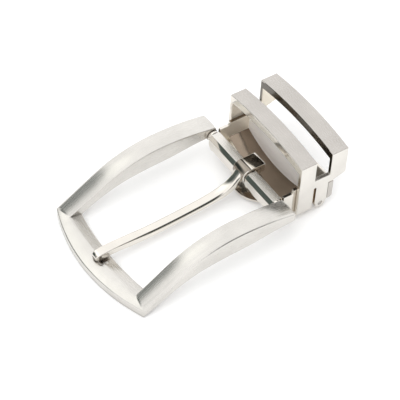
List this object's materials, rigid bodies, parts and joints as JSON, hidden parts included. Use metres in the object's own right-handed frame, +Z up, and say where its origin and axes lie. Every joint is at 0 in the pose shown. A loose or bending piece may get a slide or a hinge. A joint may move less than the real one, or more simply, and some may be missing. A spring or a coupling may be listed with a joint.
{
  "type": "belt buckle",
  "caption": "Pin buckle with an arched open frame, a hinged prong, two keeper loops and a toothed clamp jaw that grips the cut end of a belt strap.",
  "frame": {"origin": "middle of the footprint, at the level the buckle lies on", "axes": "+Z up, X along the belt with the front bar toward -X and the strap clamp toward +X, Y across the belt"},
  "size_m": [0.0847, 0.0502, 0.024],
  "materials": {
    "satin_nickel": "satin brushed nickel plate",
    "bright_nickel": "polished nickel plate",
    "steel_pin": "plain turned steel"
  },
  "bodies": {
    "clamp": {"keeper_housing": "satin_nickel", "cradle": "bright_nickel", "strap_cover": "bright_nickel", "crossbar": "bright_nickel", "hinge_pin_left": "steel_pin", "hinge_pin_right": "steel_pin", "washer_left": "bright_nickel", "washer_right": "bright_nickel"},
    "frame": {"buckle_frame": "satin_nickel"},
    "prong": {"prong": "bright_nickel"},
    "jaw": {"clamp_jaw": "satin_nickel", "tooth_strip": "steel_pin", "jaw_pin_left": "steel_pin", "jaw_pin_right": "steel_pin"}
  },
  "joints": [
    {"name": "frame_tilt", "type": "hinge", "parent": "clamp", "child": "frame", "pos_m": [0.01673, 0, 0.00947], "axis": [0, 1, 0], "range_deg": [0, 40]},
    {"name": "prong_swing", "type": "hinge", "parent": "frame", "child": "prong", "pos_m": [0.01673, 0, 0.00947], "axis": [0, 1, 0], "range_deg": [0, 60]},
    {"name": "jaw_swing", "type": "hinge", "parent": "clamp", "child": "jaw", "pos_m": [0.03217, 0, 0.00237], "axis": [0, 1, 0], "range_deg": [0, 37]}
  ]
}
